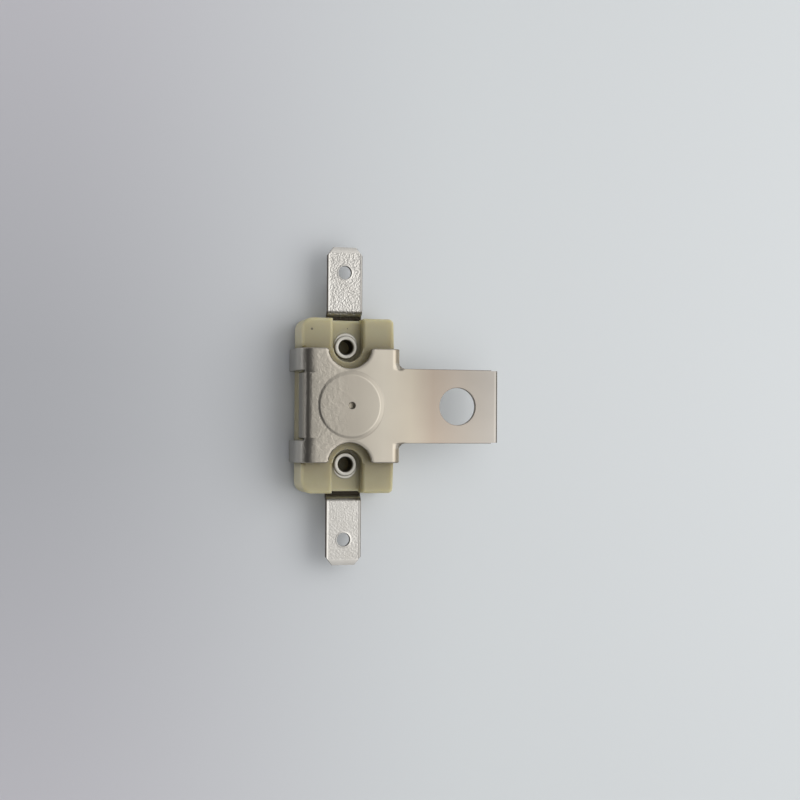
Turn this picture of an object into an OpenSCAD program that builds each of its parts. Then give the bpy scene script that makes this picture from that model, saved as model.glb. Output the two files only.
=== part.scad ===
// Thermal cut-out in a ceramic body, with a folded mounting bracket and two push-on tabs.
// Millimetres. Z is up, the ear points along +X and the tabs along +Y and -Y. The origin is on
// the axis of the snap disc, in the plane of the folded lugs on which the part lies.

/* [Ceramic body] */
// Length of the body between its two terminal ends
body_l = 30.7; // [30:0.1:36]
// Width of the body between the bracket's sides
body_w = 16.5; // [16:0.5:20]
// Height of the end blocks above the underside
end_h = 7.2; // [7:0.1:9]
// Height of the seat above the end blocks
seat_h = 1; // [0.9:0.1:1.4]
// How far the seat stands back under the bracket's plate
seat_back = 0.25; // [0.1:0.05:0.4]
// Corner radius on the side away from the ear
outer_corner_r = 2; // [1:0.1:3]
// Corner radius on the ear's side
ear_corner_r = 0.9; // [0.5:0.1:1.5]
// Width of the groove at each end
groove_w = 5.4; // [5:0.1:6]
// Depth of the groove below the end block's top
groove_d = 2.3; // [2:0.1:2.6]
// How far the groove's floor stands back from the end of the body
mouth_back = 0.3; // [0.2:0.05:0.5]
// Ceramic left between the groove and the terminal's foot
web_t = 1.5; // [1.2:0.1:1.8]
// Thickness of the end walls round the contact chamber
end_wall = 2; // [1.6:0.1:2.4]

/* [Base cover] */
// Thickness of the plate that closes the contact chamber
cover_t = 0.6; // [0.5:0.05:0.8]
// Width of the ledge that the cover lies on
cover_ledge = 2.9; // [2:0.1:3.1]
// How far the cover runs into each end wall
cover_end_step = 0.8; // [0.5:0.1:1]

/* [Mounting bracket] */
// Thickness of the sheet
sheet = 0.8; // [0.6:0.05:1]
// Length of the plate over the disc
plate_l = 20; // [19:0.2:20.4]
// Inside radius of the bends beside the ear and into the skirt
bend_r = 0.8; // [0.6:0.05:1]
// Inside radius of the bend into the lugs away from the ear
far_bend_r = 2.5; // [2.2:0.1:2.8]
// Inside radius of the folds under the body
fold_r = 0.4; // [0.3:0.05:0.6]
// Reach of the folded lugs under the body
fold_l = 3.8; // [3.6:0.1:4.2]
// Width of each lug away from the ear
outer_lug_w = 3.9; // [3.5:0.1:4.5]
// Width of the slit between the skirt and each lug
slit_w = 0.4; // [0.3:0.05:0.5]
// Depth of the skirt between the outer lugs, below the plate's top
skirt_h = 4.5; // [4:0.1:5]
// Radius of the scallop round each eyelet
scallop_r = 3.85; // [3.6:0.05:4]

/* [Ear] */
// Width of the ear
ear_w = 13.1; // [12:0.1:13.2]
// Distance from the disc's axis to the end of the ear
ear_reach = 26.9; // [25.5:0.1:32]
// Distance from the disc's axis to the screw hole
ear_hole_x = 19.5; // [18:0.1:20]
// Diameter of the screw hole
ear_hole_d = 6.6; // [4.2:0.1:7]
// Fillet between the ear and the lugs beside it
ear_fillet = 0.8; // [0.5:0.1:1]
// Step on each side where the ear was cut from its strip
cut_step = 0.15; // [0.1:0.05:0.3]
// Length of that step
cut_l = 1.1; // [0.8:0.1:1.5]

/* [Disc boss] */
// Diameter of the boss over the disc
boss_d = 11; // [10:0.1:11.6]
// Height of the boss
boss_h = 0.15; // [0.1:0.05:0.3]
// Width of the boss's sloping edge
boss_slope = 0.2; // [0.1:0.05:0.3]
// Diameter of the vent hole in its middle
vent_d = 1.1; // [0.8:0.1:1.5]

/* [Terminals] */
// Width of the push-on tab
tab_w = 6.3; // [4.8:0.1:6.3]
// Thickness of the tab and its foot
tab_t = 0.8; // [0.5:0.05:0.8]
// Length of the flat tab, from its crank to its tip
tab_l = 11.1; // [8:0.1:14]
// Rise of the tab above its foot
tab_rise = 0.8; // [0.75:0.05:1.4]
// Straight length between the end of the body and the crank
crank_out = 0.3; // [0.2:0.05:0.5]
// Inside radius of the crank's two bends
crank_r = 0.4; // [0.3:0.05:0.5]
// Slope of the crank in degrees
crank_angle = 55; // [50:1:60]
// Diameter of the detent hole
detent_d = 2.35; // [1.5:0.05:2.5]
// Distance from the tip to the detent hole
detent_back = 4.5; // [3.5:0.05:5]
// Width taken off each corner of the tip
tip_cut_w = 1.1; // [0.8:0.05:1.4]
// Length taken off each corner of the tip
tip_cut_l = 1.45; // [1:0.05:2]
// Length of the lead-in bevel at the tip
tip_bevel_l = 0.9; // [0.5:0.05:1.2]
// Depth of the lead-in bevel on each face
tip_bevel_t = 0.2; // [0.1:0.05:0.2]

/* [Eyelets] */
// Distance from the end of the body to each eyelet
eyelet_back = 5.05; // [4.8:0.05:5.1]
// Bore of the eyelet
eyelet_bore = 2.55; // [2:0.05:2.6]
// Wall of the eyelet's tube
eyelet_wall = 0.25; // [0.2:0.05:0.3]
// Diameter of the rolled head and of the spread foot
eyelet_head_d = 4.2; // [4:0.05:4.4]
// Height of the rolled head
eyelet_head_h = 0.5; // [0.4:0.05:0.55]
// Thickness of the spread foot
eyelet_foot_t = 0.25; // [0.2:0.05:0.3]
// Length of the tube that stands out below its foot
eyelet_tail = 0.2; // [0.1:0.05:0.3]
// Thickness of the lip under the rolled head
eyelet_lip_t = 0.15; // [0.1:0.05:0.2]
// How far the lip sits out of centre, away from the disc
eyelet_lip_off = 0.4; // [0.2:0.05:0.45]

/* [Disc and pin] */
// Diameter of the snap disc
disc_d = 11.2; // [10.8:0.1:11.4]
// Thickness of the snap disc
disc_t = 0.25; // [0.2:0.05:0.3]
// Rise of the disc's dome
disc_dome = 0.4; // [0.3:0.05:0.5]
// Depth of the pocket that holds the disc's rim
disc_pocket = 0.8; // [0.7:0.05:0.9]
// Width of the ledge under the rim
disc_ledge = 0.8; // [0.6:0.1:1]
// Depth of the relief under the disc
disc_relief = 0.8; // [0.7:0.05:1]
// Diameter of the push pin
pin_d = 2; // [1.6:0.1:2.4]
// Chamfer on the pin's ends
pin_edge = 0.25; // [0.1:0.05:0.4]
// Rise of the pin's end above the relief's floor
pin_rise = 0.7; // [0.6:0.05:0.8]

/* [Contacts] */
// Thickness of the contact spring
spring_t = 0.25; // [0.2:0.05:0.3]
// Width of the contact spring
spring_w = 4.5; // [4:0.1:5]
// Length of the spring's sloping part
spring_slope_l = 1.6; // [1.2:0.1:2]
// Distance from the disc's axis to the contacts
contact_y = 5.2; // [5:0.1:5.3]
// Diameter of each contact button
contact_d = 3; // [2.5:0.1:3]
// Thickness of each contact button
contact_t = 0.5; // [0.4:0.05:0.5]

/* [Fits] */
// Gap round the bracket, the terminals and the cover
fit_gap = 0.1; // [0.05:0.01:0.12]
// Gap round the push pin and the eyelets, and between the closed contacts
slide_gap = 0.05; // [0.02:0.01:0.06]

/* [Hidden] */
$fn = 96;
// Overshoot of every cut past the faces that it opens
past = 0.5;

// Heights, from the lugs on which the part lies up to the plate
base_z = sheet;
cover_z = base_z + cover_t;
end_z = base_z + end_h;
seat_z = end_z + seat_h;
plate_z = seat_z + sheet;
groove_z = end_z - groove_d;
foot_top_z = groove_z - web_t;
foot_z = foot_top_z - tab_t;
tab_z = foot_z + tab_rise;
disc_z = seat_z - disc_pocket;
relief_z = disc_z - disc_relief;
// Faces of the closed contacts and the spring under them
closed_z = foot_z - contact_t;
arm_z = closed_z - slide_gap - contact_t;

// Places across the body
body_x = body_w / 2;
side_x = body_x + fit_gap;
bend_x = side_x - bend_r;
far_bend_x = side_x - far_bend_r;
// Inner face of the skirt, whose outer face is flush with the ceramic, and where its bend starts
skirt_x = body_x - sheet;
skirt_bend_x = skirt_x - bend_r;
shell_x = side_x + sheet;
foot_half_w = tab_w / 2 + fit_gap;

// Places along the body
end_y = body_l / 2;
chamber_y = end_y - end_wall;
plate_y = plate_l / 2;
seat_y = plate_y - seat_back;
cover_y = chamber_y + cover_end_step;

// Places and holes of the eyelets
eyelet_y = end_y - eyelet_back;
eyelet_hole_d = eyelet_bore + 2 * eyelet_wall + 2 * slide_gap;

// Inner edges of the lugs, and the end of the skirt
ear_lug_in = ear_w / 2 + ear_fillet;
outer_lug_in = plate_y - outer_lug_w;
skirt_y = outer_lug_in - slit_w;
// Where the slits beside the skirt end, in the middle of its sheet
slit_end_x = skirt_x + sheet / 2;

// Edges of the ceramic that clear the bends of the sheet
seat_edge_r = bend_r + fit_gap;
far_edge_r = far_bend_r + fit_gap;
edge_break = fold_r + fit_gap;

// Crank of the terminals, measured on the sheet's middle line
crank_mid_r = crank_r + tab_t / 2;
crank_slope_l = (tab_rise - 2 * crank_mid_r * (1 - cos(crank_angle))) / sin(crank_angle);
crank_run = 2 * crank_mid_r * sin(crank_angle) + crank_slope_l * cos(crank_angle);
crank_steps = 10;
crank_y = end_y + crank_out;
tip_y = crank_y + crank_run + tab_l;

// Inner ends of the feet, and the spring's own stations
spring_foot_y = eyelet_y - eyelet_head_d / 2 - fit_gap;
contact_foot_y = contact_y - contact_d / 2 - fit_gap;
spring_root_y = eyelet_y + eyelet_head_d / 2;
spring_tip_y = contact_y + contact_d / 2;
spring_level_y = spring_foot_y - spring_slope_l;

// A quarter ring of sheet about its bend's centre, in the corner given by two signs
module bend_quarter(inner_r, thickness, x_side, z_side) {
    intersection() {
        difference() {
            circle(inner_r + thickness);
            circle(inner_r);
        }
        corner = inner_r + thickness + past;
        translate([x_side < 0 ? -corner : 0, z_side < 0 ? -corner : 0]) square(corner);
    }
}

// A rectangle with its own radius on the corners of each side
module rounded_block(half_x, half_y, left_r, right_r) {
    polygon([
        [-half_x + left_r, -half_y], [half_x - right_r, -half_y],
        [half_x, -half_y + right_r], [half_x, half_y - right_r],
        [half_x - right_r, half_y], [-half_x + left_r, half_y],
        [-half_x, half_y - left_r], [-half_x, -half_y + left_r]
    ]);
    for (side = [-1, 1]) {
        translate([-half_x + left_r, side * (half_y - left_r)]) circle(left_r);
        translate([half_x - right_r, side * (half_y - right_r)]) circle(right_r);
    }
}

// Extrudes a section drawn in X and Z over a stretch of Y
module along_y(from_y, to_y) {
    translate([0, to_y, 0]) rotate([90, 0, 0]) linear_extrude(to_y - from_y) children();
}

// Extrudes a section drawn in Y and Z over a width centred on X
module across_x(width) {
    rotate([90, 0, 90]) linear_extrude(width, center = true) children();
}

// The end blocks' section, with the lower edges broken where the lugs fold round them
module block_section() {
    polygon([
        [-body_x + edge_break, base_z], [body_x - edge_break, base_z],
        [body_x, base_z + edge_break], [body_x, end_z],
        [-body_x, end_z], [-body_x, base_z + edge_break]
    ]);
}

// The seat's section, with its upper edge rounded under the bend beside the ear
module seat_section() {
    low_z = end_z - past;
    translate([-body_x, low_z]) square([body_w, seat_z - seat_edge_r - low_z]);
    translate([-body_x, low_z]) square([body_w - seat_edge_r, seat_z - low_z]);
    translate([body_x - seat_edge_r, seat_z - seat_edge_r]) circle(seat_edge_r);
}

// What is cut off an upper edge away from the ear to round it under a bend of the sheet
module edge_cut(face_x, edge_r) {
    difference() {
        translate([-body_x - past, seat_z - edge_r])
            square([body_x + past - face_x + edge_r, edge_r + past]);
        translate([-face_x + edge_r, seat_z - edge_r]) circle(edge_r);
    }
}

// Moulded ceramic block: open grooves at both ends, the disc's pocket above and the contact
// chamber below, joined by the push pin's guide bore
module ceramic_body() {
    color("#A29A80") difference() {
        union() {
            intersection() {
                translate([0, 0, base_z]) linear_extrude(end_h)
                    rounded_block(body_x, end_y, outer_corner_r, ear_corner_r);
                along_y(-end_y - past, end_y + past) block_section();
            }
            difference() {
                along_y(-seat_y, seat_y) seat_section();
                for (side = [-1, 1])
                    translate([0, side * eyelet_y, end_z])
                        cylinder(h = seat_h + past, r = scallop_r + seat_back);
            }
        }
        for (side = [-1, 1]) {
            translate([0, side * eyelet_y, groove_z]) {
                cylinder(h = plate_z, d = groove_w);
                translate([-groove_w / 2, side < 0 ? -body_l : 0, 0])
                    cube([groove_w, body_l, plate_z]);
            }
            translate([0, side * eyelet_y, 0])
                cylinder(h = plate_z, d = eyelet_hole_d);
            mirror([0, side < 0 ? 1 : 0, 0]) {
                translate([-groove_w / 2, end_y - mouth_back, foot_z])
                    cube([groove_w, mouth_back + past, groove_d]);
                along_y(skirt_y, plate_y + fit_gap) edge_cut(body_x, far_edge_r);
            }
        }
        along_y(-skirt_y - fit_gap, skirt_y + fit_gap) {
            edge_cut(skirt_x - fit_gap, seat_edge_r);
            translate([-body_x - past, plate_z - skirt_h - fit_gap])
                square([body_x + past - skirt_x + fit_gap, skirt_h]);
        }
        translate([0, 0, disc_z]) cylinder(h = plate_z, d = disc_d + 2 * fit_gap);
        translate([0, 0, relief_z]) cylinder(h = plate_z, d = disc_d - 2 * disc_ledge);
        cylinder(h = plate_z, d = pin_d + 2 * slide_gap);
        translate([-foot_half_w, -chamber_y, 0])
            cube([2 * foot_half_w, 2 * chamber_y, foot_top_z]);
        translate([-foot_half_w, -end_y - past, foot_z - fit_gap])
            cube([2 * foot_half_w, body_l + 2 * past, tab_t + fit_gap]);
        translate([-foot_half_w - cover_ledge - fit_gap, -cover_y - fit_gap, 0])
            cube([2 * (foot_half_w + cover_ledge + fit_gap), 2 * (cover_y + fit_gap), cover_z]);
    }
}

// Ceramic plate pressed into the rebate under the contact chamber
module base_cover() {
    color("#B5AE96") translate([-foot_half_w - cover_ledge, -cover_y, base_z])
        cube([2 * (foot_half_w + cover_ledge), 2 * cover_y, cover_t]);
}

// The bend from the plate into one side, and the straight wall below it down to a given height
module side_wall(side, wall_x, inner_r, down_to_z) {
    translate([side * (wall_x - inner_r), seat_z - inner_r]) bend_quarter(inner_r, sheet, side, 1);
    translate([side < 0 ? -wall_x - sheet : wall_x, down_to_z])
        square([sheet, seat_z - inner_r - down_to_z]);
}

// A lug: the side wall, its lower bend and the fold that lies under the body
module lug_section(side) {
    fold_x = side_x - fold_r;
    fold_flat_l = fold_x - (shell_x - fold_l);
    side_wall(side, side_x, side < 0 ? far_bend_r : bend_r, base_z + fold_r);
    translate([side * fold_x, base_z + fold_r]) bend_quarter(fold_r, sheet, side, -1);
    translate([side < 0 ? -fold_x : fold_x - fold_flat_l, 0]) square([fold_flat_l, sheet]);
}

// The flat of the bracket seen from above: plate, ear, scallops, holes and fillets
module plate_outline() {
    difference() {
        union() {
            translate([-far_bend_x, -plate_y]) square([far_bend_x + bend_x, plate_l]);
            translate([-skirt_bend_x, -skirt_y]) square([skirt_bend_x, 2 * skirt_y]);
            translate([0, -ear_w / 2]) square([ear_reach - cut_l, ear_w]);
            translate([0, -ear_w / 2 + cut_step]) square([ear_reach, ear_w - 2 * cut_step]);
            for (side = [-1, 1]) mirror([0, side < 0 ? 1 : 0]) ear_root();
        }
        for (side = [-1, 1]) translate([0, side * eyelet_y]) circle(scallop_r);
        translate([ear_hole_x, 0]) circle(d = ear_hole_d);
        circle(d = vent_d);
    }
}

// The fillet that runs from the edge of the ear to the lug beside it
module ear_root() {
    difference() {
        square([shell_x + ear_fillet, ear_lug_in]);
        translate([shell_x + ear_fillet, ear_lug_in]) circle(ear_fillet);
    }
}

// The part of the outer lugs' bend that the slit beside the skirt stops short of
module slit_root() {
    intersection() {
        translate([-far_bend_x, seat_z - far_bend_r]) bend_quarter(far_bend_r, sheet, -1, 1);
        translate([-slit_end_x, 0]) square([slit_end_x, plate_z]);
    }
}

// Folded bracket of plated steel: plate, ear, skirt and four lugs from one sheet
module mounting_bracket() {
    color("#B9B4A8") difference() {
        union() {
            translate([0, 0, seat_z]) linear_extrude(sheet) plate_outline();
            along_y(-skirt_y, skirt_y) side_wall(-1, skirt_x, bend_r, plate_z - skirt_h);
            for (side = [-1, 1]) mirror([0, side < 0 ? 1 : 0, 0]) {
                along_y(skirt_y, outer_lug_in) slit_root();
                along_y(outer_lug_in, plate_y) lug_section(-1);
                along_y(ear_lug_in, plate_y) lug_section(1);
            }
            translate([0, 0, plate_z])
                cylinder(h = boss_h, r1 = boss_d / 2, r2 = boss_d / 2 - boss_slope);
        }
        translate([0, 0, seat_z - past])
            cylinder(h = past + boss_h, d = boss_d - 2 * boss_slope);
        translate([0, 0, seat_z - past]) cylinder(h = plate_z, d = vent_d);
    }
}

// Points on an arc about a centre, from one angle to another
function arc(centre, radius, from_angle, to_angle) = [
    for (i = [0:crank_steps])
        let (angle = from_angle + (to_angle - from_angle) * i / crank_steps)
            centre + radius * [cos(angle), sin(angle)]
];

// Side view of a terminal: foot, crank and tab, with the tip's lead-in bevels
module terminal_section(foot_end_y) {
    low_centre = [crank_y, foot_top_z + crank_r];
    high_centre = [crank_y + crank_run, tab_z - crank_r];
    polygon(concat(
        [[foot_end_y, foot_top_z], [foot_end_y, foot_z]],
        arc(low_centre, crank_r + tab_t, -90, crank_angle - 90),
        arc(high_centre, crank_r, crank_angle + 90, 90),
        [[tip_y - tip_bevel_l, tab_z], [tip_y, tab_z + tip_bevel_t],
         [tip_y, tab_z + tab_t - tip_bevel_t], [tip_y - tip_bevel_l, tab_z + tab_t]],
        arc(high_centre, crank_r + tab_t, 90, crank_angle + 90),
        arc(low_centre, crank_r, crank_angle - 90, -90)
    ));
}

// A terminal that leaves the body along +Y, with its foot running in to a given place
module terminal(foot_end_y) {
    difference() {
        intersection() {
            across_x(tab_w) terminal_section(foot_end_y);
            linear_extrude(plate_z) polygon([
                [-tab_w / 2, 0], [tab_w / 2, 0],
                [tab_w / 2, tip_y - tip_cut_l], [tab_w / 2 - tip_cut_w, tip_y],
                [-tab_w / 2 + tip_cut_w, tip_y], [-tab_w / 2, tip_y - tip_cut_l]
            ]);
        }
        translate([0, tip_y - detent_back, 0]) cylinder(h = plate_z, d = detent_d);
        translate([0, eyelet_y, 0]) cylinder(h = plate_z, d = eyelet_hole_d);
    }
}

// Tinned tab that carries the contact spring
module spring_terminal() {
    color("#CFCCC4") terminal(spring_foot_y);
}

// Tinned tab whose foot runs in to the fixed contact
module contact_terminal() {
    color("#CFCCC4") mirror([0, 1, 0]) terminal(contact_foot_y);
}

// Tubular rivet at the +Y end: a rolled head on its lip in the groove, a tube through ceramic
// and foot, and a spread foot below
module eyelet(under_z) {
    translate([0, eyelet_y, 0]) eyelet_turned(under_z);
    difference() {
        translate([0, eyelet_y + eyelet_lip_off, groove_z])
            cylinder(h = eyelet_lip_t, d = eyelet_head_d);
        translate([0, eyelet_y, groove_z - past]) cylinder(h = plate_z, d = eyelet_bore);
    }
}

// The turned part of an eyelet, on the Z axis
module eyelet_turned(under_z) {
    bore_r = eyelet_bore / 2;
    head_r = eyelet_head_d / 2;
    low_z = under_z - eyelet_foot_t - eyelet_tail;
    roll_r = eyelet_head_h / 2;
    rotate_extrude() {
        translate([bore_r, low_z]) square([eyelet_wall, groove_z + roll_r - low_z]);
        translate([bore_r, under_z - eyelet_foot_t]) square([head_r - bore_r, eyelet_foot_t]);
        translate([bore_r, groove_z]) square([head_r - roll_r - bore_r, roll_r]);
        translate([bore_r + roll_r, groove_z]) square([head_r - 2 * roll_r - bore_r, eyelet_head_h]);
        translate([bore_r + roll_r, groove_z + roll_r]) circle(roll_r);
        translate([head_r - roll_r, groove_z + roll_r]) circle(roll_r);
    }
}

// Eyelet that clamps the terminal and the contact spring
module spring_eyelet() {
    color("#D6D3CB") eyelet(foot_z - spring_t);
}

// Eyelet that clamps the terminal with the fixed contact
module contact_eyelet() {
    color("#D6D3CB") mirror([0, 1, 0]) eyelet(foot_z);
}

// Snap disc, domed towards the plate while cold
module bimetal_disc() {
    steps = 10;
    rim_r = disc_d / 2;
    function dome_z(i) = disc_z + disc_dome * (1 - pow(i / steps, 2));
    color("#C9B48A") rotate_extrude() polygon(concat(
        [for (i = [0:steps]) [rim_r * i / steps, dome_z(i)]],
        [for (i = [steps:-1:0]) [rim_r * i / steps, dome_z(i) + disc_t]]
    ));
}

// Ceramic pin that hands the disc's snap on to the contact spring
module push_pin() {
    pin_low_z = arm_z + slide_gap;
    color("#E8E2D2") rotate_extrude() polygon([
        [0, pin_low_z], [pin_d / 2 - pin_edge, pin_low_z], [pin_d / 2, pin_low_z + pin_edge],
        [pin_d / 2, relief_z + pin_rise - pin_edge], [pin_d / 2 - pin_edge, relief_z + pin_rise],
        [0, relief_z + pin_rise]
    ]);
}

// Spring strip: clamped flat under the terminal's foot, cranked down, then level to its tip
module contact_spring() {
    root_z = foot_z - spring_t;
    level_z = arm_z - spring_t;
    color("#B98A55") difference() {
        across_x(spring_w) polygon([
            [spring_root_y, root_z], [spring_root_y, foot_z], [spring_foot_y, foot_z],
            [spring_level_y, arm_z], [-spring_tip_y, arm_z],
            [-spring_tip_y, level_z], [spring_level_y, level_z], [spring_foot_y, root_z]
        ]);
        translate([0, eyelet_y, 0]) cylinder(h = plate_z, d = eyelet_hole_d);
    }
}

// Silver button on the spring's tip
module moving_contact() {
    color("#DAD9D6") translate([0, -contact_y, arm_z]) cylinder(h = contact_t, d = contact_d);
}

// Silver button under the contact terminal's foot
module fixed_contact() {
    color("#DAD9D6") translate([0, -contact_y, closed_z]) cylinder(h = contact_t, d = contact_d);
}

ceramic_body();
base_cover();
mounting_bracket();
spring_terminal();
contact_terminal();
spring_eyelet();
contact_eyelet();
bimetal_disc();
push_pin();
contact_spring();
moving_contact();
fixed_contact();
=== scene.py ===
import math

import bmesh
import bpy
import mathutils
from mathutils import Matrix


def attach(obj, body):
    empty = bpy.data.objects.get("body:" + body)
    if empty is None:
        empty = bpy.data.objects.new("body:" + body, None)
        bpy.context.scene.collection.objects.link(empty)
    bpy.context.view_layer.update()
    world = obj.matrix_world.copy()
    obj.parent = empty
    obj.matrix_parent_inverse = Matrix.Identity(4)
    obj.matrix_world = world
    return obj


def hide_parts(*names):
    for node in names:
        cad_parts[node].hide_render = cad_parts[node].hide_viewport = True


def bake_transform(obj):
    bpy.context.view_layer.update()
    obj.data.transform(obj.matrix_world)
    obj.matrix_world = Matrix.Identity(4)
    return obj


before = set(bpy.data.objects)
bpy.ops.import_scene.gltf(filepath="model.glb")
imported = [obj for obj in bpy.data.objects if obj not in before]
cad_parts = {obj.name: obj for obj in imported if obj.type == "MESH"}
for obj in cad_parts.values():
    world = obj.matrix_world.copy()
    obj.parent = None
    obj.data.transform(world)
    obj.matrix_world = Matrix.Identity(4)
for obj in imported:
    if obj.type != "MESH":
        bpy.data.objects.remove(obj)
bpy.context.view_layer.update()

# Ceramic body: a block of dry-pressed steatite, fired without glaze, that carries all the other
# parts. The press leaves soft edges and rounded corners, and the firing leaves a matt, slightly
# waxy cream body with a few dark iron specks in it.
MM = 0.001


def only(piece):
    """Makes one piece the active one, with nothing else selected."""
    bpy.ops.object.select_all(action="DESELECT")
    piece.select_set(True)
    bpy.context.view_layer.objects.active = piece


def copied(node, name):
    """A new piece with a CAD node's mesh, its loose triangles merged into whole flat faces."""
    piece = bpy.data.objects.new(name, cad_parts[node].data.copy())
    bpy.context.scene.collection.objects.link(piece)
    piece.data.materials.clear()
    only(piece)
    bpy.ops.object.mode_set(mode="EDIT")
    bpy.ops.mesh.select_mode(type="EDGE")
    bpy.ops.mesh.select_all(action="SELECT")
    bpy.ops.mesh.customdata_custom_splitnormals_clear()
    bpy.ops.mesh.remove_doubles(threshold=0.002 * MM)
    bpy.ops.mesh.dissolve_limited(angle_limit=math.radians(0.4))
    bpy.ops.object.mode_set(mode="OBJECT")
    return piece


def round_edges(piece, offset, segments, wanted, convex=True, least=25):
    """Bevels the edges of at least some degrees whose middle, in millimetres, is wanted."""
    only(piece)
    bpy.ops.object.mode_set(mode="EDIT")
    bpy.ops.mesh.select_all(action="DESELECT")
    shape = bmesh.from_edit_mesh(piece.data)
    for edge in shape.edges:
        x, y, z = (edge.verts[0].co + edge.verts[1].co) / (2 * MM)
        sharp = edge.is_manifold and edge.calc_face_angle() > math.radians(least)
        edge.select_set(bool(sharp and (edge.is_convex or not convex) and wanted(x, y, z)))
    bmesh.update_edit_mesh(piece.data)
    bpy.ops.mesh.bevel(offset=offset * MM, segments=segments, profile=0.5, clamp_overlap=False)
    bpy.ops.object.mode_set(mode="OBJECT")


def smooth(piece, angle=35):
    """Shades a piece smooth: flat faces stay flat, and creases are kept at its sharper edges."""
    only(piece)
    bpy.ops.object.shade_smooth_by_angle(angle=math.radians(angle))
    bpy.ops.object.modifier_add(type="WEIGHTED_NORMAL")
    piece.modifiers[-1].weight = 100
    piece.modifiers[-1].keep_sharp = True
    bpy.ops.object.modifier_apply(modifier=piece.modifiers[-1].name)


def fit(piece, body, slot, material, *nodes):
    """Gives a finished piece its material, its body and the nodes that it stands for. The slot is not
    used.
    """
    piece.data.materials.append(material)
    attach(piece, body)
    if nodes:
        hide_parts(*nodes)


def colour(hex_value):
    """An sRGB hex value as linear red, green, blue and alpha."""
    parts = [int(hex_value[i:i + 2], 16) / 255 for i in (1, 3, 5)]
    return [c / 12.92 if c <= 0.04045 else ((c + 0.055) / 1.055) ** 2.4 for c in parts] + [1]


def add(tree, kind, inputs=None, **settings):
    """Adds a shader node. Inputs are values, or outputs of other nodes that are linked."""
    made = tree.nodes.new("ShaderNode" + kind)
    for name, value in settings.items():
        setattr(made, name, value)
    for name, value in (inputs or {}).items():
        if isinstance(value, bpy.types.NodeSocket):
            tree.links.new(value, made.inputs[name])
        else:
            made.inputs[name].default_value = value
    return made


def per_mm(size):
    """The texture scale at which one feature of a pattern is this many millimetres across."""
    return 1 / (size * MM)


def started(name):
    """A new material, with its node tree, its shader and its Object coordinates."""
    material = bpy.data.materials.new(name)
    material.use_nodes = True
    tree = material.node_tree
    return material, tree, tree.nodes["Principled BSDF"], add(tree, "TexCoord").outputs["Object"]


ceramic_block = copied("ceramic_body", "ceramic_block")
round_edges(ceramic_block, 0.5, 5, lambda x, y, z: 7.8 < z < 8.2 and abs(x) > 2.6 and abs(y) > 9.9)
round_edges(ceramic_block, 0.3, 4, lambda x, y, z: abs(y) > 14.7 and 5.6 < z < 7.5)
smooth(ceramic_block)

# Steatite: matt and a little translucent at its edges, with broad mottling from the pressing. Painted
# shade makes it browner towards the plate, and painted light makes it paler on the side away from the
# ear. Its grain is drawn at a fifth of a millimetre, coarser than the real one, so that it shows.
steatite, tree, shader, place = started("Unglazed steatite")
mottle = add(tree, "TexNoise", {"Vector": place, "Scale": per_mm(4), "Detail": 4.0,
                                "Roughness": 0.6})
grain = add(tree, "TexNoise", {"Vector": place, "Scale": per_mm(0.22), "Detail": 3.0})
body_colour = add(tree, "Mix", {0: mottle.outputs["Fac"], 6: colour("#ABA281"), 7: colour("#BDB694")},
                  data_type="RGBA").outputs[2]
for speck, speck_r in (((-6.5, 13.32, 8), 0.16), ((0.35, 13.64, 5.7), 0.08),
                       ((-8.2, -14.5, 6.5), 0.15)):
    away = add(tree, "VectorMath", {0: place, 1: [c * MM for c in speck]}, operation="DISTANCE")
    dark = add(tree, "MapRange", {"Value": away.outputs["Value"], "From Min": speck_r * MM,
                                  "From Max": speck_r * 1.6 * MM, "To Min": 0.9, "To Max": 0.0})
    body_colour = add(tree, "Mix", {0: dark.outputs[0], 6: body_colour, 7: colour("#2E2A22")},
                      data_type="RGBA").outputs[2]
apart = add(tree, "SeparateXYZ", {0: place})
along = add(tree, "Math", {0: apart.outputs["Y"]}, operation="ABSOLUTE").outputs[0]
# Painted shade: the end blocks turn browner towards the plate, which shades them.
painted_plate_shade = add(tree, "MapRange", {"Value": along, "From Min": 10 * MM, "From Max": 15 * MM,
                             "To Min": 0.85, "To Max": 0.0})
body_colour = add(tree, "Mix", {0: painted_plate_shade.outputs[0], 6: body_colour, 7: colour("#8F8567")},
                  data_type="RGBA").outputs[2]
# Painted light: the side wall away from the ear is made paler, less so beside the plate.
side = add(tree, "MapRange", {"Value": apart.outputs["X"], "From Min": -7.7 * MM,
                              "From Max": -8.2 * MM}).outputs[0]
clear = add(tree, "MapRange", {"Value": along, "From Min": 10 * MM, "From Max": 11 * MM,
                               "To Max": 0.7}).outputs[0]
side = add(tree, "Math", {0: side, 1: clear}, operation="MULTIPLY").outputs[0]
body_colour = add(tree, "Mix", {0: side, 6: body_colour, 7: colour("#D8CFAF")},
                  data_type="RGBA").outputs[2]
bump = add(tree, "Bump", {"Height": grain.outputs["Fac"], "Strength": 0.5, "Distance": 0.02 * MM})
tree.links.new(body_colour, shader.inputs["Base Color"])
tree.links.new(bump.outputs["Normal"], shader.inputs["Normal"])
shader.inputs["Roughness"].default_value = 0.55
shader.inputs["IOR"].default_value = 1.52
shader.inputs["Subsurface Weight"].default_value = 0.9
shader.inputs["Subsurface Radius"].default_value = (1.0, 0.9, 0.6)
shader.inputs["Subsurface Scale"].default_value = 3 * MM
fit(ceramic_block, "housing", "steatite", steatite, "ceramic_body")

# Push pin: a short rod of ground ceramic that slides in the body's guide bore and hands the snap of
# the disc on to the contact spring. Its ends are ground to a small chamfer.


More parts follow.
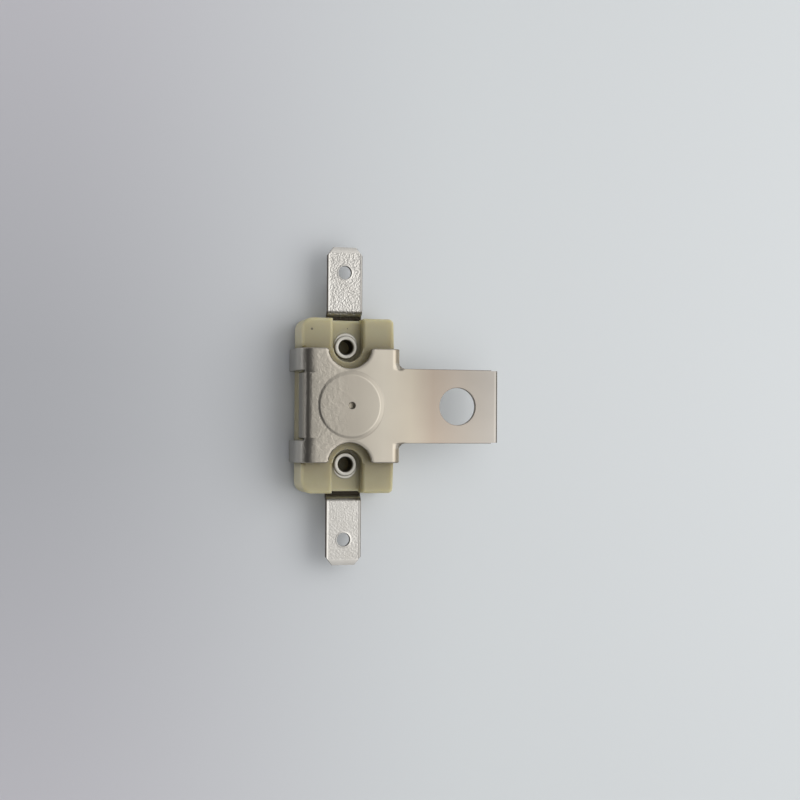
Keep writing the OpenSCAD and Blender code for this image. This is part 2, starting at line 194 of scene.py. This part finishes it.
def turned(name, profile, centre_y, steps=64):
    """A piece turned about an upright axis from a closed profile of (radius, height), in millimetres."""
    mesh = bpy.data.meshes.new(name)
    mesh.from_pydata([(r * MM, centre_y * MM, z * MM) for r, z in profile],
                     [(i, (i + 1) % len(profile)) for i in range(len(profile))], [])
    piece = bpy.data.objects.new(name, mesh)
    bpy.context.scene.collection.objects.link(piece)
    only(piece)
    bpy.ops.object.mode_set(mode="EDIT")
    bpy.ops.mesh.select_all(action="SELECT")
    bpy.ops.mesh.spin(steps=steps, angle=2 * math.pi, center=(0, centre_y * MM, 0), axis=(0, 0, 1))
    bpy.ops.mesh.select_all(action="SELECT")
    bpy.ops.mesh.remove_doubles(threshold=0.002 * MM)
    bpy.ops.mesh.dissolve_degenerate(threshold=0.001 * MM)
    bpy.ops.mesh.normals_make_consistent(inside=False)
    bpy.ops.object.mode_set(mode="OBJECT")
    return piece


push_pin = turned("push_pin_rod", [(0, 2.4), (0.82, 2.4), (0.95, 2.46), (1, 2.58),
                                   (1, 7.92), (0.95, 8.04), (0.82, 8.1), (0, 8.1)], 0, 48)
smooth(push_pin)

# Ground ceramic: white and hard, with a faint trace of the grinding wheel round it.
ground, tree, shader, place = started("Ground white ceramic")
rings = add(tree, "TexWave", {"Vector": place, "Scale": per_mm(0.35) / 6.28, "Distortion": 1.5,
                              "Detail": 2.0}, bands_direction="Z")
tree.links.new(add(tree, "Mix", {0: rings.outputs["Fac"], 6: colour("#DDD5C2"), 7: colour("#E8E2D2")},
                   data_type="RGBA").outputs[2], shader.inputs["Base Color"])
shader.inputs["Roughness"].default_value = 0.4
fit(push_pin, "pin", "pin_ceramic", ground, "push_pin")

# Terminals: push-on tabs blanked from hard brass strip and hot-tinned, cranked up where they leave
# the body. Their long edges and tips are coined, and the dipped tin dries to a sparkling grain.
DETENT_Y = 23.643
tabs = []
for node in ("spring_terminal", "contact_terminal"):
    tab = copied(node, node + "_tab")
    round_edges(tab, 0.07, 3, lambda x, y, z: abs(y) > 15.3 and abs(x) > 1.5)
    round_edges(tab, 0.08, 3, lambda x, y, z: abs(x) < 1.3 and 22 < abs(y) < 25)
    smooth(tab)
    tabs.append(tab)

# Tin: bright and sparkling, with a grain that is stronger on the spring's tab and smooth on the coined
# rim, tip and lip of the hole. Painted shade darkens the top of the crank, a painted highlight lies
# lower on its slope and a painted shadow in the body's mouth, and the cut sides show dull brass. The
# grain is drawn coarser than the real one.
tinned, tree, shader, place = started("Hot-tinned brass")
apart = add(tree, "SeparateXYZ", {0: place})
across = add(tree, "Math", {0: apart.outputs["X"]}, operation="ABSOLUTE").outputs[0]
along = add(tree, "Math", {0: apart.outputs["Y"]}, operation="ABSOLUTE").outputs[0]
rim = add(tree, "MapRange", {"Value": across, "From Min": 2.7 * MM, "From Max": 2.9 * MM}).outputs[0]
tip = add(tree, "MapRange", {"Value": along, "From Min": 27.0 * MM, "From Max": 27.25 * MM}).outputs[0]
frame_line = add(tree, "Math", {0: rim, 1: tip}, operation="MAXIMUM").outputs[0]
beyond = add(tree, "Math", {0: along, 1: DETENT_Y * MM}, operation="SUBTRACT").outputs[0]
from_hole = add(tree, "VectorMath", {0: add(tree, "CombineXYZ", {0: across, 1: beyond}).outputs[0]},
                operation="LENGTH").outputs["Value"]
lip = add(tree, "MapRange", {"Value": from_hole, "From Min": 1.3 * MM, "From Max": 1.5 * MM,
                             "To Min": 1.0, "To Max": 0.0}).outputs[0]
frame_line = add(tree, "Math", {0: frame_line, 1: lip}, operation="MAXIMUM").outputs[0]
grain = add(tree, "TexNoise", {"Vector": place, "Scale": per_mm(0.34), "Detail": 1.0,
                               "Roughness": 0.6})
coarser = add(tree, "MapRange", {"Value": apart.outputs["Y"], "From Min": -10 * MM, "From Max": 10 * MM,
                                 "To Min": 0.7, "To Max": 2.2}).outputs[0]
rough = add(tree, "Math", {0: grain.outputs["Fac"], 1: 0.5}, operation="SUBTRACT").outputs[0]
rough = add(tree, "Math", {0: rough, 1: coarser}, operation="MULTIPLY").outputs[0]
height = add(tree, "Mix", {0: frame_line, 2: rough, 3: 0.6}).outputs[0]
bump = add(tree, "Bump", {"Height": height, "Strength": 1.0, "Distance": 0.06 * MM})
tone = add(tree, "TexNoise", {"Vector": place, "Scale": per_mm(2.5), "Detail": 3.0})
tin_colour = add(tree, "Mix", {0: tone.outputs["Fac"], 6: colour("#AFABA4"), 7: colour("#BEBBB5")},
                 data_type="RGBA").outputs[2]
# Painted shade: the top of the crank's fold is darkened.
painted_fold_shade = add(tree, "MapRange", {"Value": along, "From Min": 16.62 * MM, "From Max": 16.95 * MM,
                              "To Min": 1.0, "To Max": 0.0}).outputs[0]
tin_colour = add(tree, "Mix", {0: painted_fold_shade, 6: tin_colour, 7: colour("#7A7771")},
                 data_type="RGBA").outputs[2]
# Painted highlight: the crank is made lighter lower on its slope.
painted_slope_shading = add(tree, "MapRange", {"Value": along, "From Min": 16.2 * MM, "From Max": 16.42 * MM,
                               "To Min": 1.0, "To Max": 0.0}).outputs[0]
tin_colour = add(tree, "Mix", {0: painted_slope_shading, 6: tin_colour, 7: colour("#DEDBD4")},
                 data_type="RGBA").outputs[2]
# Painted shadow: the strip is near black where it enters the body's mouth.
painted_mouth_shadow = add(tree, "MapRange", {"Value": along, "From Min": 15.8 * MM, "From Max": 16.05 * MM,
                               "To Min": 1.0, "To Max": 0.0}).outputs[0]
within = add(tree, "MapRange", {"Value": along, "From Min": 14.6 * MM,
                                "From Max": 15.0 * MM}).outputs[0]
painted_mouth_shadow = add(tree, "Math", {0: painted_mouth_shadow, 1: within}, operation="MULTIPLY").outputs[0]
tin_colour = add(tree, "Mix", {0: painted_mouth_shadow, 6: tin_colour, 7: colour("#2C2822")},
                 data_type="RGBA").outputs[2]
cut = add(tree, "MapRange", {"Value": across, "From Min": 3.03 * MM, "From Max": 3.06 * MM}).outputs[0]
pierced = add(tree, "MapRange", {"Value": from_hole, "From Min": 1.19 * MM, "From Max": 1.22 * MM,
                                 "To Min": 1.0, "To Max": 0.0}).outputs[0]
cut = add(tree, "Math", {0: cut, 1: pierced}, operation="MAXIMUM").outputs[0]
tin_colour = add(tree, "Mix", {0: cut, 6: tin_colour, 7: colour("#463B2F")}, data_type="RGBA").outputs[2]
tree.links.new(tin_colour, shader.inputs["Base Color"])
tree.links.new(bump.outputs["Normal"], shader.inputs["Normal"])
shader.inputs["Metallic"].default_value = 1.0
shader.inputs["Roughness"].default_value = 0.3
for tab, node in zip(tabs, ("spring_terminal", "contact_terminal")):
    fit(tab, "housing", "tinned_brass", tinned, node)

# Contacts: two silver buttons, headed cold from wire and riveted on, one under the contact terminal's
# foot and one on the spring's tip. Their faces are slightly crowned.
CONTACT_Y = -5.2
fixed_button = turned("fixed_button", [(0, 2.92), (0.6, 2.915), (1.1, 2.93), (1.38, 2.98),
                                       (1.5, 3.1), (1.5, 3.4), (0, 3.4)], CONTACT_Y, 48)
moving_button = turned("moving_button", [(0, 2.35), (1.5, 2.35), (1.5, 2.65), (1.38, 2.77),
                                         (1.1, 2.82), (0.6, 2.845), (0, 2.85)], CONTACT_Y, 48)
for button in (fixed_button, moving_button):
    smooth(button)

# Contact silver: bright, with a thin yellowish film of tarnish in patches.
silver, tree, shader, place = started("Contact silver")
film = add(tree, "TexNoise", {"Vector": place, "Scale": per_mm(0.8), "Detail": 3.0})
tree.links.new(add(tree, "Mix", {0: film.outputs["Fac"], 6: colour("#E4E2DC"), 7: colour("#CFC8B4")},
                   data_type="RGBA").outputs[2], shader.inputs["Base Color"])
shader.inputs["Metallic"].default_value = 1.0
shader.inputs["Roughness"].default_value = 0.28
fit(fixed_button, "housing", "contact_silver", silver, "fixed_contact")
fit(moving_button, "contact", "contact_silver", silver, "moving_contact")

# Contact spring: a strip of rolled phosphor bronze, clamped under the terminal's foot by the eyelet.
# It bends along its whole arm when the pin pushes it.


def split(piece, axis, places, wanted):
    """Cuts the faces whose middle is wanted at some places along one axis, in millimetres."""
    only(piece)
    bpy.ops.object.mode_set(mode="EDIT")
    across = [int(i == axis) for i in range(3)]
    for at in places:
        bpy.ops.mesh.select_all(action="DESELECT")
        shape = bmesh.from_edit_mesh(piece.data)
        for face in shape.faces:
            face.select_set(wanted(*(face.calc_center_median() / MM)))
        bmesh.update_edit_mesh(piece.data)
        bpy.ops.mesh.bisect(plane_co=[at * MM * i for i in across], plane_no=across)
    bpy.ops.object.mode_set(mode="OBJECT")


spring_strip = copied("contact_spring", "spring_strip")
round_edges(spring_strip, 0.05, 2, lambda x, y, z: abs(x) > 2 and y < 8)
split(spring_strip, 1, [cut * 0.6 for cut in range(-10, 13)], lambda x, y, z: True)
smooth(spring_strip)

# Phosphor bronze: copper-gold, with fine rolling lines along the strip.
bronze, tree, shader, place = started("Rolled phosphor bronze")
drawn = add(tree, "Mapping", {"Vector": place, "Scale": (1.0, 0.06, 1.0)})
rolled = add(tree, "TexNoise", {"Vector": drawn.outputs[0], "Scale": per_mm(0.25), "Detail": 3.0})
tree.links.new(add(tree, "Mix", {0: rolled.outputs["Fac"], 6: colour("#A8743F"), 7: colour("#CF9A60")},
                   data_type="RGBA").outputs[2], shader.inputs["Base Color"])
bump = add(tree, "Bump", {"Height": rolled.outputs["Fac"], "Strength": 0.3, "Distance": 0.01 * MM})
tree.links.new(bump.outputs["Normal"], shader.inputs["Normal"])
shader.inputs["Metallic"].default_value = 1.0
shader.inputs["Roughness"].default_value = 0.35
spring_strip.data.materials.append(bronze)
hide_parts("contact_spring")
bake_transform(spring_strip)

# Eyelets: tubular rivets drawn from brass strip and plated with bright nickel. The head is rolled
# over on its own lip in the groove, and the tail is spread under the terminal's foot.


def arc(centre, radius, start, end, steps):
    """Points of a profile's arc, in millimetres, with its angles in degrees."""
    turns = [math.radians(start + (end - start) * i / steps) for i in range(steps + 1)]
    return [(centre[0] + radius * math.cos(t), centre[1] + radius * math.sin(t)) for t in turns]


RIVET_Y, LIP_Y = 10.3, 10.7
TUBE_R, BORE_R = 1.525, 1.275
rivets = []
for node, side, under in (("spring_eyelet", 1, 3.15), ("contact_eyelet", -1, 3.4)):
    rivet = turned(node + "_rivet",
                   [(BORE_R, under - 0.45), (TUBE_R, under - 0.45), (TUBE_R, under - 0.25)]
                   + arc((1.98, under - 0.13), 0.12, -90, 90, 6)
                   + [(TUBE_R, under - 0.01), (TUBE_R, 5.71)]
                   + arc((1.85, 5.95), 0.25, -75, 90, 8) + arc((TUBE_R, 5.95), 0.25, 100, 180, 5),
                   side * RIVET_Y)
    lip = turned(node + "_lip", [(1.68, 5.71), (2.06, 5.71), (2.1, 5.75), (2.1, 5.81), (2.06, 5.85),
                                 (1.68, 5.85)], side * LIP_Y)
    only(rivet)
    lip.select_set(True)
    bpy.ops.object.join()
    smooth(rivet, 40)
    rivets.append(rivet)

# Bright nickel over brass: smooth and silvery, a little warm, with fine draw marks down the tube.
bright, tree, shader, place = started("Bright nickel on brass")
cloud = add(tree, "TexNoise", {"Vector": place, "Scale": per_mm(0.7), "Detail": 4.0})
apart = add(tree, "SeparateXYZ", {0: place})
# Painted shade: the tube is near black below the rolled head, where its bore lies in shade.
painted_bore_shade = add(tree, "MapRange", {"Value": apart.outputs["Z"], "From Min": 5.3 * MM, "From Max": 5.85 * MM,
                              "To Min": 1.0, "To Max": 0.0}).outputs[0]
silvery = add(tree, "Mix", {0: cloud.outputs["Fac"], 6: colour("#A19D93"), 7: colour("#B4B1A8")},
              data_type="RGBA")
tree.links.new(add(tree, "Mix", {0: painted_bore_shade, 6: silvery.outputs[2], 7: colour("#4A4238")},
                   data_type="RGBA").outputs[2], shader.inputs["Base Color"])
bump = add(tree, "Bump", {"Height": cloud.outputs["Fac"], "Strength": 0.3, "Distance": 0.03 * MM})
tree.links.new(bump.outputs["Normal"], shader.inputs["Normal"])
shader.inputs["Metallic"].default_value = 1.0
shader.inputs["Roughness"].default_value = 0.42
for rivet, node in zip(rivets, ("spring_eyelet", "contact_eyelet")):
    fit(rivet, "housing", "plated_brass", bright, node)

# Base cover: a thin pressed plate of the same steatite that closes the contact chamber from below.
# The bracket's lugs are folded over it and hold it in.
cover_plate = copied("base_cover", "cover_plate")
round_edges(cover_plate, 0.2, 3, lambda x, y, z: z < 0.95)
smooth(cover_plate)
fit(cover_plate, "housing", "steatite", steatite, "base_cover")

# Snap disc: a round of bimetal strip, dished in a press, that turns over at its trip heat. It lies
# loose in its pocket between the ceramic seat and the bracket's boss.
DISC_R, DISC_FOOT, DISC_DISH, DISC_T, DISC_STEPS = 5.6, 8.2, 0.4, 0.25, 14
under_face = [(DISC_R * i / DISC_STEPS, DISC_FOOT + DISC_DISH * (1 - (i / DISC_STEPS) ** 2))
              for i in range(DISC_STEPS + 1)]
snap_disc = turned("snap_disc", under_face + [(r, z + DISC_T) for r, z in reversed(under_face)], 0, 72)
smooth(snap_disc)

# Bimetal strip: a nickel-steel face, rolled in one direction and browned by its heat treatment.
strip, tree, shader, place = started("Rolled bimetal strip")
drawn = add(tree, "Mapping", {"Vector": place, "Scale": (0.05, 1.0, 1.0)})
rolled = add(tree, "TexNoise", {"Vector": drawn.outputs[0], "Scale": per_mm(0.2), "Detail": 3.0})
tree.links.new(add(tree, "Mix", {0: rolled.outputs["Fac"], 6: colour("#9A9282"), 7: colour("#B0A898")},
                   data_type="RGBA").outputs[2], shader.inputs["Base Color"])
shader.inputs["Metallic"].default_value = 1.0
shader.inputs["Roughness"].default_value = 0.38
fit(snap_disc, "housing", "bimetal", strip, "bimetal_disc")

# Mounting bracket: one blank of steel strip, pierced, coined over the disc and folded round the
# ceramic, then plated with satin nickel. The punch leaves rolled upper edges, and the metal is drawn
# smoothly from the ear into the lugs beside it.
PLATE_TOP, PLATE_UNDER, BOSS_R = 9.8, 9.0, 5.5
BEND_X, BEND_Z, BEND_OUT, BEND_MID, BEND_IN = 7.55, 8.2, 1.6, 1.2, 0.8
LUG_X, ROOT_X, EAR_Y = 9.15, 9.95, 6
bracket = copied("mounting_bracket", "folded_bracket")
round_edges(bracket, 0.5, 5, lambda x, y, z: 3.6 < abs(x) < 4.1 and abs(y) > 9.95 and 9.2 < z < 9.6)
turns = {round(math.atan2(v.co.x - BEND_X * MM, v.co.z - BEND_Z * MM), 3)
         for v in bracket.data.vertices
         if abs(math.hypot(v.co.x - BEND_X * MM, v.co.z - BEND_Z * MM) - BEND_OUT * MM) < 0.005 * MM}
split(bracket, 0, (BEND_X, ROOT_X), lambda x, y, z: z > 8.95)
split(bracket, 1, (-7.1, -6.8, -6.5, -6.2, 6.2, 6.5, 6.8, 7.1),
      lambda x, y, z: 7.5 < x < 10 and z > 8.95)
split(bracket, 0, [BEND_X + BEND_MID * turn for turn in turns if 0 < turn < 1.3] + [9.45, 9.7],
      lambda x, y, z: 7.5 < x < 10 and abs(y) > 6.1 and z > 8.95)
only(bracket)
bpy.ops.object.mode_set(mode="EDIT")
bpy.ops.mesh.select_all(action="DESELECT")
shape = bmesh.from_edit_mesh(bracket.data)
for vert in shape.verts:
    x, y, z = vert.co / MM
    if abs(math.hypot(x, y) - BOSS_R) < 0.02 and abs(z - PLATE_TOP) < 0.01:
        foot = 5.9 + 0.27 * math.cos(math.atan2(y, x) - math.radians(30))
        vert.co.x *= foot / BOSS_R
        vert.co.y *= foot / BOSS_R
    if math.hypot(x, y) < 0.7:
        vert.co.x += 0.3 * MM
    on_sheet = abs(z - PLATE_TOP) < 0.01 or abs(z - PLATE_UNDER) < 0.01
    if 7.56 < x < 9.94 and 6.01 < abs(y) < 7.36 and on_sheet:
        part = min((abs(y) - EAR_Y) / 1.35, 1) * min((ROOT_X - x) / 1.1, 1)
        part = part * part * (3 - 2 * part)
        turn = (min(x, LUG_X) - BEND_X) / BEND_MID
        radius = BEND_OUT if z > 9.4 else BEND_IN
        vert.co.x += part * (BEND_X + radius * math.sin(turn) - min(x, LUG_X)) * MM
        vert.co.z += part * (BEND_Z + radius * math.cos(turn) - z) * MM
    vert.select_set(x > 7.5 and 7.3 < abs(y) < 7.4 and z > 8)
bmesh.update_edit_mesh(bracket.data)
bpy.ops.mesh.remove_doubles(threshold=0.06 * MM)
bpy.ops.object.mode_set(mode="OBJECT")


def outside(x, y, z):
    """Whether a place on the bracket is on the face of its sheet that looks away from the ceramic."""
    if z < 1.2:
        return z < 0.4 or math.hypot(abs(x) - 7.95, z - 1.2) > 0.8
    if x < -5.85 and z > 6.5:
        return math.hypot(x + 5.85, z - 6.5) > 2.9
    if x > BEND_X and z > BEND_Z:
        return math.hypot(x - BEND_X, z - BEND_Z) > BEND_MID
    return z > 9.5 or abs(x) > 8.75


round_edges(bracket, 0.25, 4, lambda x, y, z: math.hypot(x, y) > 6 and x < 9.2 and abs(y) > 7.6
            and outside(x, y, z))
round_edges(bracket, 0.12, 3, lambda x, y, z: (z > 9.5 or z < 9.2) and math.hypot(x, y) > 6
            and x < 25.5 and not (x > 7.5 and 7.2 < abs(y) < 7.6))
round_edges(bracket, 0.05, 2, lambda x, y, z: x > 25.5)
round_edges(bracket, 0.1, 4, lambda x, y, z: 4 < math.hypot(x, y) < 6.3 and z > 9.3, False, 5)
round_edges(bracket, 0.18, 3, lambda x, y, z: math.hypot(x, y) < 1 and z > 9.9)
smooth(bracket)

# Satin nickel: grey and a little warm, pinker along the ear where the bath left it thin. Painted shade
# makes the bends beside the ear darker and browner and dims the right of the boss's foot ring, painted
# light and shade mark the far bend and its lugs, a painted highlight runs just inside the ear's end, and
# a dark line runs along that end. Beating in the press leaves the plate near the far bend low and finely
# dented, and rolls the edges round the rivets. The satin grain is drawn coarser than the real one.
nickel, tree, shader, place = started("Satin nickel plate")
apart = add(tree, "SeparateXYZ", {0: place})
aside = add(tree, "Math", {0: apart.outputs["Y"]}, operation="ABSOLUTE").outputs[0]
RAMP_START, RAMP_LENGTH = -10, 40
along = add(tree, "MapRange", {"Value": apart.outputs["X"], "From Min": RAMP_START * MM,
                               "From Max": (RAMP_START + RAMP_LENGTH) * MM}).outputs[0]
drift_and_painted_bend_shading = add(tree, "ValToRGB", {0: along})
stops = drift_and_painted_bend_shading.color_ramp.elements
# Painted light and shade: the stops from -8.9 to -6.8 make the lug wall paler and put a dark band along
# the far bend.
for spot, (at, tone) in enumerate(((-8.9, "#B2AFA8"), (-8.0, "#9E988D"), (-7.4, "#857F76"),
                                   (-6.8, "#9E988D"), (0, "#A0998D"), (6, "#ACA598"), (11, "#A9A091"),
                                   (15, "#978B7E"), (22, "#948D84"), (27, "#96918A"))):
    share = (at - RAMP_START) / RAMP_LENGTH
    stop = stops[0] if spot == 0 else stops.new(share)
    stop.position = share
    stop.color = colour(tone)
stops.remove(stops[-1])
tint = add(tree, "TexNoise", {"Vector": place, "Scale": per_mm(9), "Detail": 2.0})
from_axis = add(tree, "VectorMath", {0: place, 1: (0, 0, 9.95 * MM)},
                operation="DISTANCE").outputs["Value"]
rubbed = add(tree, "MapRange", {"Value": from_axis, "From Min": 5.2 * MM, "From Max": 5.5 * MM,
                                "To Min": 0.91, "To Max": 1.0}).outputs[0]
patchy_and_painted_shading = add(tree, "MapRange", {"Value": tint.outputs["Fac"], "To Min": 0.9, "To Max": 1.1}).outputs[0]
patchy_and_painted_shading = add(tree, "Math", {0: patchy_and_painted_shading, 1: rubbed}, operation="MULTIPLY").outputs[0]
# Painted shade: the right side of the boss's foot ring is darkened to dim its highlight.
painted_slope_shading = add(tree, "Math", {0: from_axis, 1: 5.83 * MM, 2: 0.37 * MM}, operation="COMPARE").outputs[0]
near = add(tree, "MapRange", {"Value": apart.outputs["X"], "From Min": -2 * MM, "From Max": 2 * MM,
                              "To Min": 0.0, "To Max": -0.24}).outputs[0]
painted_slope_shading = add(tree, "Math", {0: painted_slope_shading, 1: near, 2: 1.0}, operation="MULTIPLY_ADD").outputs[0]
patchy_and_painted_shading = add(tree, "Math", {0: patchy_and_painted_shading, 1: painted_slope_shading}, operation="MULTIPLY").outputs[0]
ear = add(tree, "MapRange", {"Value": apart.outputs["X"], "From Min": 8 * MM,
                             "From Max": 13 * MM}).outputs[0]
lean = add(tree, "MapRange", {"Value": apart.outputs["Y"], "From Min": -5 * MM, "From Max": 5 * MM,
                              "To Min": 1.09, "To Max": 0.9}).outputs[0]
lean = add(tree, "Mix", {0: ear, 2: 1.0, 3: lean}).outputs[0]
patchy_and_painted_shading = add(tree, "Math", {0: patchy_and_painted_shading, 1: lean}, operation="MULTIPLY").outputs[0]
# Painted highlight: a strip just inside the ear's end is made lighter.
end = add(tree, "MapRange", {"Value": apart.outputs["X"], "From Min": 26.2 * MM, "From Max": 26.5 * MM,
                             "To Min": 1.0, "To Max": 1.2}).outputs[0]
patchy_and_painted_shading = add(tree, "Math", {0: patchy_and_painted_shading, 1: end}, operation="MULTIPLY").outputs[0]
# Painted shade: the bends beside the ear are made darker and browner.
painted_lug_bend_shade = add(tree, "MapRange", {"Value": apart.outputs["X"], "From Min": 7.8 * MM,
                              "From Max": 8.3 * MM}).outputs[0]
lug = add(tree, "MapRange", {"Value": aside, "From Min": 7.3 * MM, "From Max": 7.7 * MM}).outputs[0]
painted_lug_bend_shade = add(tree, "Math", {0: painted_lug_bend_shade, 1: lug}, operation="MULTIPLY").outputs[0]
upper = add(tree, "MapRange", {"Value": apart.outputs["Z"], "From Min": 7.4 * MM,
                               "From Max": 8.4 * MM}).outputs[0]
painted_lug_bend_shade = add(tree, "Math", {0: painted_lug_bend_shade, 1: upper}, operation="MULTIPLY").outputs[0]
plate_colour = add(tree, "Mix", {0: painted_lug_bend_shade, 6: drift_and_painted_bend_shading.outputs["Color"], 7: colour("#9A8F7D")},
                   data_type="RGBA").outputs[2]
plate_colour = add(tree, "VectorMath", {0: plate_colour, 1: patchy_and_painted_shading}, operation="MULTIPLY").outputs[0]
# A dark line along the ear's end.
dark_end_line = add(tree, "MapRange", {"Value": apart.outputs["X"], "From Min": 26.66 * MM,
                               "From Max": 26.72 * MM}).outputs[0]
plate_colour = add(tree, "Mix", {0: dark_end_line, 6: plate_colour, 7: colour("#4E4A44")},
                   data_type="RGBA").outputs[2]
beaten = add(tree, "MapRange", {"Value": apart.outputs["X"], "From Min": -3.5 * MM,
                                "From Max": 1.0 * MM, "To Min": 1.0, "To Max": 0.0}).outputs[0]
dents = add(tree, "TexNoise", {"Vector": place, "Scale": per_mm(0.8), "Detail": 2.0, "Distortion": 0.6})
sunk = add(tree, "MapRange", {"Value": apart.outputs["X"], "From Min": -4.5 * MM,
                              "From Max": -7 * MM}).outputs[0]
sunk = add(tree, "Math", {0: sunk, 1: 2.0}, operation="POWER").outputs[0]
middle = add(tree, "MapRange", {"Value": aside, "From Min": 4.5 * MM, "From Max": 6.5 * MM,
                                "To Min": -1.8, "To Max": 0.0}).outputs[0]
height = add(tree, "Math", {0: dents.outputs["Fac"], 1: beaten}, operation="MULTIPLY").outputs[0]
height = add(tree, "Math", {0: sunk, 1: middle, 2: height}, operation="MULTIPLY_ADD").outputs[0]
beside = add(tree, "Math", {0: aside, 1: RIVET_Y * MM}, operation="SUBTRACT").outputs[0]
from_rivet = add(tree, "CombineXYZ", {0: apart.outputs["X"], 1: beside}).outputs[0]
from_rivet = add(tree, "VectorMath", {0: from_rivet}, operation="LENGTH").outputs["Value"]
rolled = add(tree, "MapRange", {"Value": from_rivet, "From Min": 4.5 * MM,
                                "From Max": 3.85 * MM}).outputs[0]
rolled = add(tree, "Math", {0: rolled, 1: 2.0}, operation="POWER").outputs[0]
height = add(tree, "Math", {0: rolled, 1: -1.6, 2: height}, operation="MULTIPLY_ADD").outputs[0]
coarse = add(tree, "Bump", {"Height": height, "Strength": 1.0, "Distance": 0.07 * MM})
satin = add(tree, "TexNoise", {"Vector": place, "Scale": per_mm(0.15), "Detail": 2.0})
bump = add(tree, "Bump", {"Height": satin.outputs["Fac"], "Strength": 0.25, "Distance": 0.01 * MM,
                          "Normal": coarse.outputs["Normal"]})
tree.links.new(plate_colour, shader.inputs["Base Color"])
tree.links.new(bump.outputs["Normal"], shader.inputs["Normal"])
shader.inputs["Metallic"].default_value = 1.0
shader.inputs["Roughness"].default_value = 0.34
fit(bracket, "housing", "plated_steel", nickel, "mounting_bracket")

# Floor: a sheet of matt white board that the part lies on. A painted shadow makes it greyer on the left,
# most of all beside the part.
bpy.ops.mesh.primitive_plane_add(size=3)
floor = bpy.context.object
floor.name = "floor"
board, tree, shader, place = started("Matt white board")
apart = add(tree, "SeparateXYZ", {0: place})
shade = add(tree, "MapRange", {"Value": apart.outputs["X"], "From Min": -60 * MM,
                               "From Max": 30 * MM}, interpolation_type="SMOOTHSTEP").outputs[0]
along = add(tree, "Math", {0: apart.outputs["Y"]}, operation="ABSOLUTE").outputs[0]
paler = add(tree, "MapRange", {"Value": along, "From Min": 8 * MM, "From Max": 70 * MM}).outputs[0]
painted_shadow_tone = add(tree, "Mix", {0: paler, 6: colour("#BEBEC1"), 7: colour("#D0CED2")},
                data_type="RGBA").outputs[2]
tree.links.new(add(tree, "Mix", {0: shade, 6: painted_shadow_tone, 7: colour("#E1E4E4")},
                   data_type="RGBA").outputs[2], shader.inputs["Base Color"])
shader.inputs["Roughness"].default_value = 0.75
floor.data.materials.append(board)

# Light: a soft window high on the right, a broad pale ceiling on the same side, and a dim grey room
# that is paler towards its foot.
for name, spot, aim, size, watts in (("window", (0.26, 0.02, 0.31), (0, 0, 0), 0.34, 0.5),
                                     ("ceiling", (0.45, 0, 0.55), (0.45, 0, 0), 1.2, 3.0)):
    lamp = bpy.data.lights.new(name, "AREA")
    lamp.size = size
    lamp.energy = watts
    holder = bpy.data.objects.new(name, lamp)
    bpy.context.scene.collection.objects.link(holder)
    holder.location = spot
    holder.rotation_euler = (mathutils.Vector(aim) - holder.location).to_track_quat("-Z", "Y").to_euler()
world = bpy.data.worlds.new("room")
world.use_nodes = True
tree = world.node_tree
apart = add(tree, "SeparateXYZ", {0: add(tree, "TexCoord").outputs["Generated"]})
level = add(tree, "MapRange", {"Value": apart.outputs["X"], "From Min": -1.0, "From Max": 1.0,
                               "To Min": 0.06, "To Max": 0.48}).outputs[0]
height = add(tree, "Math", {0: apart.outputs["Z"]}, operation="ABSOLUTE").outputs[0]
low = add(tree, "Math", {0: 1.0, 1: height}, operation="SUBTRACT").outputs[0]
low = add(tree, "Math", {0: low, 1: 6.0}, operation="POWER").outputs[0]
glow = add(tree, "Math", {0: apart.outputs["X"], 1: -0.5, 2: 1.6}, operation="MULTIPLY_ADD").outputs[0]
glow = add(tree, "Math", {0: apart.outputs["Y"], 1: 0.8, 2: glow}, operation="MULTIPLY_ADD").outputs[0]
level = add(tree, "Math", {0: low, 1: glow, 2: level}, operation="MULTIPLY_ADD").outputs[0]
tree.links.new(level, tree.nodes["Background"].inputs["Strength"])
tree.nodes["Background"].inputs["Color"].default_value = colour("#F6F9FF")
bpy.context.scene.world = world
bpy.context.scene.view_settings.view_transform = "Standard"

# Camera: above the part and a little to its left, as the photograph was taken.
eye = bpy.data.cameras.new("camera")
eye.lens = 62.27
eye.clip_start = 0.01
camera = bpy.data.objects.new("camera", eye)
bpy.context.scene.collection.objects.link(camera)
camera.location = (-0.05341, -0.003806, 0.244259)
camera.rotation_euler = [math.radians(turn) for turn in (1.058, -14.898, 0.349)]
bpy.context.scene.camera = camera
